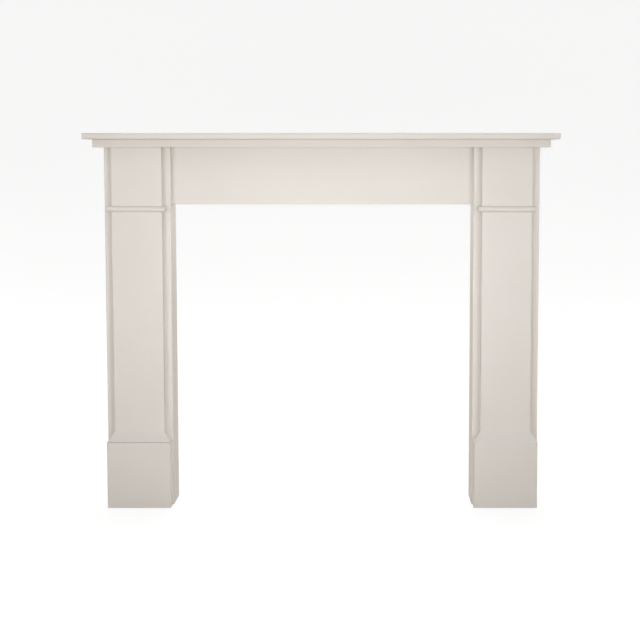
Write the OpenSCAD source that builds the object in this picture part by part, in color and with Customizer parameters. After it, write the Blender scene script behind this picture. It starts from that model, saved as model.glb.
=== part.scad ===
// Painted fireplace surround: two boxed pilaster legs on plinths, a frieze board between
// them, and a shelf made of two boards.
// The origin is on the floor, in the middle of the footprint of the shelf. The wall is
// at +Y and the front at -Y.

/* [Opening] */
// Clear width between the two legs
opening_w = 914; // [600:1:1400]
// Clear height from the floor to the lower edge of the frieze board
opening_h = 923; // [500:1:1300]

/* [Leg boxes] */
// Width of a leg across its face board
leg_w = 200; // [150:1:320]
// Depth of the side boards, from the wall to the back of the face board
return_d = 75; // [40:1:160]
// Thickness of the face boards and side boards
board_t = 18; // [12:1:25]

/* [Raised panels] */
// Strip of face board left showing at each side of the raised panel
panel_margin = 24; // [10:1:50]
// Thickness of the raised panel
panel_t = 18; // [9:1:30]

/* [Necking beads] */
// Height of the bead's round section
bead_h = 18; // [8:1:36]
// How far the bead stands out from the raised panel
bead_out = 12; // [5:1:24]
// How far the top of the bead is below the lower edge of the frieze
bead_drop = 4; // [0:1:40]

/* [Plinths] */
// Height of the square plinth block
plinth_h = 202; // [80:1:300]
// Height of the sloping cap on the block
cap_h = 28; // [10:1:60]
// How far the block stands out beyond the raised panel, at the front and each side
cap_run = 20; // [8:1:40]
// Height of the open joint under the left cap
joint_gap = 1.2; // [0.6:0.1:3]
// How deep the open joint under the left cap reaches
joint_depth = 5; // [3:1:16]

/* [Frieze] */
// Height of the frieze board
frieze_h = 172; // [60:1:350]
// Thickness of the frieze board
frieze_t = 18; // [6:1:25]

/* [Shelf] */
// Thickness of the lower board of the shelf
bed_t = 24; // [15:1:40]
// How far the lower board stands out beyond the panels and the outer sides of the legs
bed_overhang = 25; // [5:1:60]
// Thickness of the top board of the shelf
shelf_t = 18; // [12:1:40]
// How far the top board stands out beyond the lower board
shelf_overhang = 25; // [5:1:60]

/* [Edges] */
// Radius of the sanded arrises on the legs, panels, plinths and frieze
arris_r = 1.5; // [0.5:0.1:3]
// Radius of the sanded arrises on the two shelf boards
shelf_arris_r = 2.5; // [0.5:0.1:5]

/* [Hidden] */

$fn = 48;
PAINT = [0.88, 0.86, 0.83];      // warm off-white paint
PAINT_SHADE = [0.84, 0.82, 0.79]; // the same paint, on the boards that sit back

// Heights
leg_h = opening_h + frieze_h;
panel_foot = plinth_h + cap_h;
bead_foot = opening_h - bead_drop - bead_h;

// Distances out from the wall
leg_d = return_d + board_t;
panel_front = leg_d + panel_t;
bed_d = panel_front + bed_overhang;
shelf_d = bed_d + shelf_overhang;
wall_y = shelf_d / 2;

// Widths
leg_x = (opening_w + leg_w) / 2;
panel_w = leg_w - 2 * panel_margin;
plinth_w = panel_w + 2 * cap_run;
bed_w = opening_w + 2 * (leg_w + bed_overhang);
shelf_w = bed_w + 2 * shelf_overhang;

LEFT = -1;
RIGHT = 1;

// A rectangle w wide that reaches d towards -Y from Y = 0, its two front corners rounded
module eased_front(w, d, r) {
    translate([-w / 2, r - d]) square([w, d - r]);
    translate([r - w / 2, -d]) square([w - 2 * r, d]);
    for (side = [LEFT, RIGHT]) translate([side * (w / 2 - r), r - d]) circle(r);
}

// A rectangle w wide and h high from Y = 0 up, its four corners rounded
module eased_all(w, h, r) {
    translate([-w / 2, r]) square([w, h - 2 * r]);
    translate([r - w / 2, 0]) square([w - 2 * r, h]);
    for (side = [LEFT, RIGHT], y = [r, h - r]) translate([side * (w / 2 - r), y]) circle(r);
}

// Stands a section up: what is drawn in its plane as X and Y lies along X and Z, and
// the section runs d towards -Y from the wall
module run_out(d) {
    translate([0, wall_y, 0]) rotate([90, 0, 0]) linear_extrude(d) children();
}

// Stands a section on its side: drawn as distance out from the wall and height, it runs
// along X, w wide
module run_across(w) {
    translate([-w / 2, wall_y, 0]) mirror([0, 1, 0])
        rotate([90, 0, 90]) linear_extrude(w) children();
}

// One shelf board: square at the wall, all its other arrises rounded
module shelf_plank(w, d, t, r) {
    intersection() {
        translate([0, wall_y, 0]) linear_extrude(t) eased_front(w, d, r);
        run_out(d) eased_all(w, t, r);
        run_across(w) translate([0, t / 2]) rotate(90) eased_front(t, d, r);
    }
}

// The board that shows on top, and carries what stands on the mantelpiece
module shelf_board() {
    color(PAINT) translate([0, 0, leg_h + bed_t])
        shelf_plank(shelf_w, shelf_d, shelf_t, shelf_arris_r);
}

// The board under it, which ties the two legs and the frieze together
module bed_board() {
    color(PAINT) translate([0, 0, leg_h]) shelf_plank(bed_w, bed_d, bed_t, shelf_arris_r);
}

// The board between the legs, its front in line with the backs of their face boards
module frieze_board() {
    color(PAINT_SHADE) difference() {
        translate([-opening_w / 2, wall_y - return_d, opening_h])
            cube([opening_w, frieze_t, frieze_h]);
        // rounded lower arris
        run_across(opening_w + 2) translate([return_d, opening_h]) difference() {
            translate([-arris_r, -arris_r]) square(2 * arris_r);
            translate([-arris_r, arris_r]) circle(arris_r);
            translate([-2 * arris_r, arris_r]) square([3 * arris_r, arris_r]);
        }
    }
}

// The front of a leg box, from the floor to the shelf
module face_board(side) {
    color(PAINT) translate([side * leg_x, wall_y - return_d, 0])
        linear_extrude(leg_h) eased_front(leg_w, board_t, arris_r);
}

// A side of a leg box. Inward is -1 for the side at the opening, 1 for the outer side
module return_board(side, inward) {
    color(PAINT_SHADE)
        translate([side * (leg_x + inward * (leg_w - board_t) / 2), wall_y - return_d / 2, 0])
        translate([-board_t / 2, -return_d / 2, 0]) cube([board_t, return_d, leg_h]);
}

// The raised panel glued on the face board, from the plinth cap to the shelf
module raised_panel(side) {
    color(PAINT) translate([side * leg_x, wall_y - leg_d, panel_foot])
        linear_extrude(leg_h - panel_foot) eased_front(panel_w, panel_t, arris_r);
}

// The half-round bead, mitred round the front and sides of the raised panel, just below
// the lower edge of the frieze
module necking_bead(side) {
    nose = bead_h / 2;
    bead_w = panel_w + 2 * bead_out;
    color(PAINT) difference() {
        intersection() {
            translate([side * leg_x, 0, bead_foot]) run_out(panel_front + bead_out) {
                translate([nose - bead_w / 2, 0]) square([bead_w - bead_h, bead_h]);
                for (end = [LEFT, RIGHT])
                    translate([end * (bead_w / 2 - nose), nose]) circle(nose);
            }
            translate([side * leg_x, 0, bead_foot]) run_across(bead_w) {
                translate([leg_d, 0]) square([panel_t + bead_out - nose, bead_h]);
                intersection() {
                    translate([panel_front + bead_out - nose, nose]) circle(nose);
                    translate([leg_d, 0]) square([panel_t + bead_out, bead_h]);
                }
            }
        }
        // the panel that it goes round
        translate([side * leg_x, wall_y - leg_d, 0])
            linear_extrude(leg_h) eased_front(panel_w, panel_t, arris_r);
    }
}

// The sloping cap that brings the plinth block in to the raised panel, mitred at the
// front corners. The left one has come away a little from its block, along the front
// and the side at the opening
module plinth_cap(side) {
    color(PAINT) translate([side * leg_x, 0, plinth_h]) difference() {
        intersection() {
            run_out(panel_front + cap_run) polygon([
                [-plinth_w / 2, 0], [plinth_w / 2, 0],
                [panel_w / 2, cap_h], [-panel_w / 2, cap_h]
            ]);
            run_across(plinth_w) polygon([
                [leg_d, 0], [panel_front + cap_run, 0], [panel_front, cap_h], [leg_d, cap_h]
            ]);
        }
        if (side == LEFT) {
            translate([-plinth_w / 2, wall_y - panel_front - cap_run, 0])
                cube([plinth_w, joint_depth, joint_gap]);
            translate([plinth_w / 2 - joint_depth, wall_y - panel_front - cap_run, 0])
                cube([joint_depth, panel_t + cap_run, joint_gap]);
        }
    }
}

// The square block at the foot, fixed to the face board
module plinth_block(side) {
    color(PAINT) translate([side * leg_x, wall_y - leg_d, 0])
        linear_extrude(plinth_h) eased_front(plinth_w, panel_t + cap_run, arris_r);
}

shelf_board();
bed_board();
frieze_board();
face_board(LEFT);  // left_face_board
return_board(LEFT, -1);  // left_inner_return
return_board(LEFT, 1);  // left_outer_return
raised_panel(LEFT);  // left_raised_panel
necking_bead(LEFT);  // left_necking_bead
plinth_cap(LEFT);  // left_plinth_cap
plinth_block(LEFT);  // left_plinth_block
face_board(RIGHT);  // right_face_board
return_board(RIGHT, -1);  // right_inner_return
return_board(RIGHT, 1);  // right_outer_return
raised_panel(RIGHT);  // right_raised_panel
necking_bead(RIGHT);  // right_necking_bead
plinth_cap(RIGHT);  // right_plinth_cap
plinth_block(RIGHT);  // right_plinth_block
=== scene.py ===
import math

import bpy
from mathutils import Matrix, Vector


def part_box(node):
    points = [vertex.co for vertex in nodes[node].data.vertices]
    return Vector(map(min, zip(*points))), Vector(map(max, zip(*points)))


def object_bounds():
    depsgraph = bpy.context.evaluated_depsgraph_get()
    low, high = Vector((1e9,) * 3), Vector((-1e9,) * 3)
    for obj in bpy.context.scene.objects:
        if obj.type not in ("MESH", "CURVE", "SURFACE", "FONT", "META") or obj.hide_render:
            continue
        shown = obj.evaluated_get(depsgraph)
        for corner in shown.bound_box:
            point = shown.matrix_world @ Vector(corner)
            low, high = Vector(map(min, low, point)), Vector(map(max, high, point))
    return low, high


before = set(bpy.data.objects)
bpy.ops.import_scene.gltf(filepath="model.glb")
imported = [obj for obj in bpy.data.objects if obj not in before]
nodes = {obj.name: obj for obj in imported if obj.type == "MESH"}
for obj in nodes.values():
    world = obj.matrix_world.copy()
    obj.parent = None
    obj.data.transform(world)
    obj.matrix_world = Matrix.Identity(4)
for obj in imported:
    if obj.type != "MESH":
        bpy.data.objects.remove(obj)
cad_low, cad_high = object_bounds()

# ---- Leg boxes -------------------------------------------------------------------
# Each leg is a three-sided box of 18 mm MDF: a face board with two side boards glued
# to its back. Fair faces get two coats of satin off-white from a roller; the channel
# that goes to the wall only gets a thin coat of primer.


class Socket:
    """One output of a shader node, so that maths on it reads as maths."""

    def __init__(self, graph, link):
        self.graph, self.link = graph, link

    def maths(self, operation, *values):
        return self.graph.node("ShaderNodeMath", {"operation": operation}, *values)

    def __add__(self, other):
        return self.maths("ADD", self, other)

    def __radd__(self, other):
        return self.maths("ADD", other, self)

    def __sub__(self, other):
        return self.maths("SUBTRACT", self, other)

    def __rsub__(self, other):
        return self.maths("SUBTRACT", other, self)

    def __mul__(self, other):
        return self.maths("MULTIPLY", self, other)

    def __rmul__(self, other):
        return self.maths("MULTIPLY", other, self)

    def size(self):
        """The value without its sign."""
        return self.maths("ABSOLUTE", self)

    def either(self, other):
        """The greater of the two."""
        return self.maths("MAXIMUM", self, other)

    def above(self, edge, soft):
        """0 below edge, 1 once past it by soft."""
        return self.graph.node(
            "ShaderNodeMapRange", {"interpolation_type": "SMOOTHSTEP"},
            self, edge, edge + soft)

    def near(self, place, reach):
        """1 close to place, fading to 0 at reach from it."""
        core = 0.3 * reach
        return 1 - (self - place).size().above(core, reach - core)


class Graph:
    """The node tree of a material or of the world."""

    def __init__(self, owner):
        owner.use_nodes = True
        self.nodes = owner.node_tree.nodes
        self.links = owner.node_tree.links
        self.nodes.clear()

    def node(self, kind, settings=None, *values, output=0, **named):
        """A node of that kind, its settings first, then its sockets in order or by name."""
        made = self.nodes.new(kind)
        for setting, value in (settings or {}).items():
            setattr(made, setting, value)
        for number, value in enumerate(values):
            self.fill(made.inputs[number], value)
        for name, value in named.items():
            self.fill(made.inputs[name.replace("_", " ")], value)
        return Socket(self, made.outputs[output]) if made.outputs else made

    def fill(self, socket, value):
        """Links a socket to a value that varies, or sets it to one that doesn't."""
        if isinstance(value, Socket):
            self.links.new(value.link, socket)
        elif socket.type == "RGBA" and len(value) == 3:
            socket.default_value = (*value, 1)
        else:
            socket.default_value = value

    def part(self, vector, axis):
        """The X, Y or Z of a vector."""
        return self.node("ShaderNodeSeparateXYZ", None, vector, output=axis)

    def vector(self, operation, first, second, output="Vector"):
        """Vector maths on two vectors."""
        return self.node(
            "ShaderNodeVectorMath", {"operation": operation}, first, second, output=output)

    def blend(self, amount, first, second):
        """One colour over another, by amount."""
        mix = self.nodes.new("ShaderNodeMix")
        mix.data_type = "RGBA"
        for socket, value in ((0, amount), (6, first), (7, second)):
            self.fill(mix.inputs[socket], value)
        return Socket(self, mix.outputs[2])


PAINT = (0.742, 0.704, 0.660)
PAINT_THIN = (0.724, 0.678, 0.626)
# The darker, warmer tone of the joint lines: filler, and painted shade in the inner corners
# where boards meet.
PAINT_CAULK_AND_SHADE = (0.66, 0.62, 0.575)
PRIMER = (0.63, 0.605, 0.57)
MDF = (0.40, 0.285, 0.185)

# Grain is the size of a mark on the board and depth how far it stands up, in metres.
# Edge is where on its noise a mark starts, and over how much of it the mark fades in.
CLOUD_GRAIN = 0.24
CLOUD_EDGE = (0.34, 0.36)
SPECK_GRAIN = 0.005
PEEL_GRAIN = 0.0022
PEEL_DEPTH = 0.00014
ROLLER_GRAIN = 0.016
ROLLER_DEPTH = 0.0003
STROKE_GRAIN = 0.0016
STROKE_LENGTH = 0.09
STROKE_DEPTH = 0.00012
FIBRE_GRAIN = 0.0009
FIBRE_LENGTH = 0.003
FIBRE_EDGE = (0.5, 0.25)
FIBRE_DEPTH = 0.00018
SAWN_RAISED = 0.5
WORN_EDGE = (0.5, 1.0)

# How far each mark changes the coat's colour, and how much of the MDF shows through
# primer on a face and, on top of that, on a sawn edge.
SPECK_TONE = 0.10
SAWN_TONE = 0.30
# The next tone is for the joint lines: filler, and painted shade in the inner corners.
CAULK_AND_SHADE_TONE = 0.20
MDF_ON_FACE = 0.10
MDF_ON_SAWN = 0.60

# Satin paint's shine and roughness, and how much each mark adds to the roughness.
SATIN_SHINE = 0.45
SATIN_ROUGH = 0.37
CLOUD_ROUGH = 0.07
STROKE_ROUGH = 0.05
SPECK_ROUGH = 0.04
SAWN_ROUGH = 0.08
PRIMER_ROUGH = 0.30

# From where a face counts as pointing in a direction, and as the board's own face
# instead of its sawn edge, by how square it is to that direction.
FACING = (0.5, 0.2)
FAIR_FACE = (0.4, 0.3)

# How far the darker joint line of filler and painted shade reaches from a joint, in metres;
# less along a glue line.
FILLER_AND_SHADE_REACH = 0.0016
GLUE_LINE_AND_SHADE_REACH = 0.0010


class PaintedBoard(Graph):
    """Satin paint on one MDF board.

    along is the axis of its length and thick that of its thickness. shift moves its
    marks, so that no two boards carry the same ones.
    """

    def __init__(self, name, along, thick, shift):
        self.material = bpy.data.materials.new(name)
        super().__init__(self.material)
        self.along, self.thick = along, thick
        self.place = self.node("ShaderNodeTexCoord", output="Object")
        self.sheet = self.vector("ADD", self.place, shift)
        self.normal = self.node("ShaderNodeNewGeometry", output="Normal")
        self.caulk_and_shade = None
        self.bare = None

    def noise(self, grain, detail=2.0, rough=0.5, run=None):
        """Marks of that grain from 0 to 1, drawn out to the length of run if it is given."""
        drawn = [1.0, 1.0, 1.0]
        if run:
            drawn["XYZ".index(self.along)] = grain / run
        return self.node(
            "ShaderNodeTexNoise", {"noise_dimensions": "3D"},
            Vector=self.vector("MULTIPLY", self.sheet, drawn), Scale=1 / grain,
            Detail=detail, Roughness=rough)

    def toward(self, direction):
        """1 on the faces that point that way."""
        return self.vector("DOT_PRODUCT", self.normal, direction, "Value").above(*FACING)

    def prime(self, *directions):
        """The faces that point these ways stay in primer."""
        for direction in directions:
            face = self.toward(direction)
            self.bare = face if self.bare is None else self.bare.either(face)

    def shade_and_fill_joint(self, axis, place, reach=FILLER_AND_SHADE_REACH):
        """The soft darker line where another board meets this one: filler, and painted shade
        in its inner corner.
        """
        line = self.part(self.place, axis).near(place, reach)
        self.caulk_and_shade = line if self.caulk_and_shade is None else self.caulk_and_shade.either(line)

    def bump(self, height, depth, normal=None):
        """Marks that stand up by depth, over the relief that is already there."""
        named = {} if normal is None else {"Normal": normal}
        return self.node(
            "ShaderNodeBump", None, Strength=1.0, Distance=depth, Height=height, **named)

    def finish(self, node, peel=1.0, strokes=0.4, shade=0.35):
        """Puts the coats together, and the material on that node.

        peel and strokes are how strongly the roller's and the brush's marks show, and
        shade is how far the colour of the coat varies.
        """
        cloud = self.noise(CLOUD_GRAIN)
        speck = self.noise(SPECK_GRAIN)
        stroke = self.noise(STROKE_GRAIN, detail=3.0, run=STROKE_LENGTH)
        fibre = self.noise(FIBRE_GRAIN, detail=4.0, rough=0.7, run=FIBRE_LENGTH)
        nap = self.noise(ROLLER_GRAIN, detail=1.0)
        dimple = self.noise(PEEL_GRAIN, rough=0.6)
        bare = self.bare or 0.0
        sawn = 1 - self.part(self.normal, self.thick).size().above(*FAIR_FACE)

        thin = cloud.above(*CLOUD_EDGE) * shade + speck * SPECK_TONE
        coat = self.blend(thin, PAINT, PAINT_THIN)
        soaked = sawn * fibre.above(*FIBRE_EDGE) * SAWN_TONE
        coat = self.blend(soaked, coat, PAINT_THIN)
        # Joint lines: filler, and painted shade darkening the inner corners where boards meet.
        if self.caulk_and_shade:
            coat = self.blend(self.caulk_and_shade * CAULK_AND_SHADE_TONE, coat, PAINT_CAULK_AND_SHADE)
        if self.bare:
            worn = (cloud + fibre).above(*WORN_EDGE) * (MDF_ON_FACE + MDF_ON_SAWN * sawn)
            coat = self.blend(bare, coat, self.blend(worn, PRIMER, MDF))

        raised = (sawn * SAWN_RAISED + bare).above(0.0, 1.0)
        relief = self.bump(nap, ROLLER_DEPTH * peel)
        relief = self.bump(stroke, STROKE_DEPTH * strokes, relief)
        relief = self.bump(dimple, PEEL_DEPTH * peel, relief)
        relief = self.bump(fibre * raised, FIBRE_DEPTH, relief)

        rough = SATIN_ROUGH + cloud * CLOUD_ROUGH + stroke * STROKE_ROUGH + speck * SPECK_ROUGH
        rough = rough + sawn * SAWN_ROUGH + bare * PRIMER_ROUGH
        shader = self.node(
            "ShaderNodeBsdfPrincipled", None, Base_Color=coat, Roughness=rough,
            Specular_IOR_Level=SATIN_SHINE, Normal=relief)
        self.node("ShaderNodeOutputMaterial", None, shader)
        nodes[node].data.materials.clear()
        nodes[node].data.materials.append(self.material)


SIDES = ("left", "right")
OUTWARD = {"left": -1, "right": 1}
DOWN = (0, 0, -1)
TO_WALL = (0, 1, 0)

for side in SIDES:
    panel_low, panel_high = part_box(side + "_raised_panel")
    board = PaintedBoard(side + "_face_paint", "Z", "Y", (OUTWARD[side], 0, 0))
    board.prime(TO_WALL, DOWN)
    # Darker lines by the panel's edges: filler, and painted shade in those inner corners.
    board.shade_and_fill_joint("X", panel_low.x)
    board.shade_and_fill_joint("X", panel_high.x)
    board.finish(side + "_face_board")

    face_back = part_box(side + "_face_board")[1].y
    for name, hidden in (("inner_return", OUTWARD[side]), ("outer_return", -OUTWARD[side])):
        board = PaintedBoard(f"{side}_{name}_paint", "Z", "X", (hidden, 3, 0))
        board.prime((hidden, 0, 0), TO_WALL, DOWN)
        board.shade_and_fill_joint("Y", face_back, GLUE_LINE_AND_SHADE_REACH)
        board.finish(f"{side}_{name}")

# ---- Raised panels ---------------------------------------------------------------
# One flat board glued on each face board, from the plinth cap to the shelf, with its
# long front arrises sanded round. The roller lays the paint off up and down it.

for side in SIDES:
    board = PaintedBoard(side + "_panel_paint", "Z", "Y", (0, 5, OUTWARD[side]))
    board.shade_and_fill_joint("Z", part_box(side + "_plinth_cap")[1].z)
    board.shade_and_fill_joint("Z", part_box("bed_board")[0].z)
    board.finish(side + "_raised_panel", shade=0.45)

# ---- Necking beads ---------------------------------------------------------------
# Half-round moulding mitred round each panel just below the frieze, glued and pinned,
# and painted by brush along its length.

for side in SIDES:
    board = PaintedBoard(side + "_bead_paint", "X", "Y", (0, 7, OUTWARD[side]))
    board.shade_and_fill_joint("Y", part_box(side + "_raised_panel")[0].y)
    board.finish(side + "_necking_bead", peel=0.4, strokes=1.0, shade=0.2)

# ---- Plinths ---------------------------------------------------------------------
# A square-cut block at each foot and its sloping cap, mitred at the corners, glued and
# pinned to the leg. The cap's slope shows more of the brush than the boards do.

for side in SIDES:
    board = PaintedBoard(side + "_block_paint", "X", "Y", (2, 9, OUTWARD[side]))
    board.prime(DOWN)
    board.finish(side + "_plinth_block", shade=0.5)
    board = PaintedBoard(side + "_cap_paint", "X", "Y", (4, 11, OUTWARD[side]))
    board.shade_and_fill_joint("Z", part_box(side + "_plinth_cap")[1].z)
    board.finish(side + "_plinth_cap", peel=0.6, strokes=0.9, shade=0.3)

# ---- Frieze ----------------------------------------------------------------------
# A board let in between the two legs behind their face boards, its lower arris sanded
# round. Its back is left in primer.

frieze_low, frieze_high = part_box("frieze_board")
board = PaintedBoard("frieze_paint", "X", "Y", (6, 13, 0))
board.prime(TO_WALL)
board.shade_and_fill_joint("X", frieze_low.x)
board.shade_and_fill_joint("X", frieze_high.x)
board.finish("frieze_board", shade=0.4)

# ---- Shelf -----------------------------------------------------------------------
# Two boards, one on the other, each standing out past the one below, with sanded
# arrises. Only the edges that go to the wall are left in primer.

for name, shift in (("bed_board", (8, 15, 0)), ("shelf_board", (10, 17, 0))):
    board = PaintedBoard(name + "_paint", "X", "Z", shift)
    board.prime(TO_WALL)
    board.finish(name, shade=0.3)

# ---- Room, light and camera ------------------------------------------------------
# A plain pale floor that curves up into a bright backdrop. Two lights in front give the
# level, a small one far out on each side draws the steps, and one overhead fills the
# slopes. Paper and air are given one brightness to the eye and another to the surround.

ROOM_W = 40.0
ROOM_FRONT = -16.0
ROOM_BACK = 5.0
COVE_R = 2.0
COVE_STEPS = 16
WALL_TOP = 12.0
BLACK = (0.0, 0.0, 0.0)
WHITE = (1.0, 1.0, 1.0)
PAPER_SEEN = (0.22, 0.22, 0.22)
PAPER_BOUNCE = (0.48, 0.45, 0.41)
GLOW_SEEN = (0.51, 0.51, 0.51)
PAPER_GLOW = 1.62
GLOW_RISE = 1.5
AIR_SEEN = 0.95
AMBIENT = 0.52
OVERHEAD = (0.1, 0.9)
OVERHEAD_LOSS = 0.7


def backdrop():
    """The paper sweep, in one sheet that runs up behind the surround."""
    profile = [(ROOM_FRONT, 0.0)]
    for step in range(COVE_STEPS + 1):
        turn = math.pi / 2 * step / COVE_STEPS
        back = ROOM_BACK - COVE_R + COVE_R * math.sin(turn)
        profile.append((back, COVE_R - COVE_R * math.cos(turn)))
    profile.append((ROOM_BACK, WALL_TOP))
    points = [(x, y, z) for y, z in profile for x in (-ROOM_W / 2, ROOM_W / 2)]
    faces = [(2 * i, 2 * i + 1, 2 * i + 3, 2 * i + 2) for i in range(len(profile) - 1)]
    mesh = bpy.data.meshes.new("backdrop")
    mesh.from_pydata(points, [], faces)
    for face in mesh.polygons:
        face.use_smooth = True
    made = bpy.data.objects.new("backdrop", mesh)
    bpy.context.scene.collection.objects.link(made)
    paper = bpy.data.materials.new("backdrop_paper")
    sheet = Graph(paper)
    seen = sheet.node("ShaderNodeLightPath", output="Is Camera Ray")
    height = sheet.part(sheet.node("ShaderNodeTexCoord", output="Object"), "Z")
    tone = sheet.blend(seen, PAPER_BOUNCE, PAPER_SEEN)
    glow = sheet.blend(height.above(0.0, GLOW_RISE), BLACK, WHITE)
    shader = sheet.node(
        "ShaderNodeBsdfPrincipled", None, Base_Color=tone, Roughness=0.9,
        Specular_IOR_Level=0.1, Emission_Strength=PAPER_GLOW,
        Emission_Color=sheet.blend(seen, glow, GLOW_SEEN))
    sheet.node("ShaderNodeOutputMaterial", None, shader)
    mesh.materials.append(paper)
    return made


backdrop()

world = bpy.data.worlds.new("studio")
sky = Graph(world)
seen = sky.node("ShaderNodeLightPath", output="Is Camera Ray")
height = sky.part(sky.node("ShaderNodeTexCoord", output="Generated"), "Z")
overhead = height.above(*OVERHEAD)
level = seen * AIR_SEEN + (1 - seen) * (1 - overhead * OVERHEAD_LOSS) * AMBIENT
air = sky.node("ShaderNodeBackground", None, WHITE, level)
sky.node("ShaderNodeOutputWorld", None, air)
bpy.context.scene.world = world


def soft_box(name, place, size, power, aim, spread=180):
    """A light that looks at the middle of the surround, aim above the floor."""
    data = bpy.data.lights.new(name, "AREA")
    data.shape = "RECTANGLE"
    data.size, data.size_y = size
    data.energy = power
    data.spread = math.radians(spread)
    lamp = bpy.data.objects.new(name, data)
    lamp.location = place
    look = Vector((0, 0, aim)) - Vector(place)
    lamp.rotation_euler = look.to_track_quat("-Z", "Y").to_euler()
    lamp.visible_camera = False
    bpy.context.scene.collection.objects.link(lamp)


soft_box("left_light", (-2.8, -4.0, 1.05), size=(0.6, 0.6), power=2.75, aim=0.75, spread=40)
soft_box("right_light", (2.8, -4.0, 1.05), size=(0.6, 0.6), power=3.1, aim=0.75, spread=40)
soft_box("front_light", (0, -3.2, 0.72), size=(1.0, 0.6), power=1.2, aim=0.72, spread=70)
soft_box("low_light", (0, -1.45, 0.68), size=(1.5, 0.4), power=2.05, aim=0.68, spread=130)
soft_box("top_light", (0, -1.6, 2.6), size=(2.4, 0.8), power=6.5, aim=0.8)

LENS = 63.88
FILM_WIDTH = 36.0
LENS_SHIFT = (-0.0648, -0.1415)
CAMERA_SIDE = 0.119
CAMERA_OFF_WALL = 3.52
CAMERA_UP = 1.087
CAMERA_DIP = 4.0

camera_data = bpy.data.cameras.new("camera")
camera_data.lens = LENS
camera_data.sensor_width = FILM_WIDTH
camera_data.shift_x, camera_data.shift_y = LENS_SHIFT
camera = bpy.data.objects.new("camera", camera_data)
camera.location = (CAMERA_SIDE, cad_high.y - CAMERA_OFF_WALL, CAMERA_UP)
camera.rotation_euler = (math.radians(90 - CAMERA_DIP), 0, 0)
bpy.context.scene.collection.objects.link(camera)
bpy.context.scene.camera = camera
bpy.context.scene.view_settings.view_transform = "Standard"
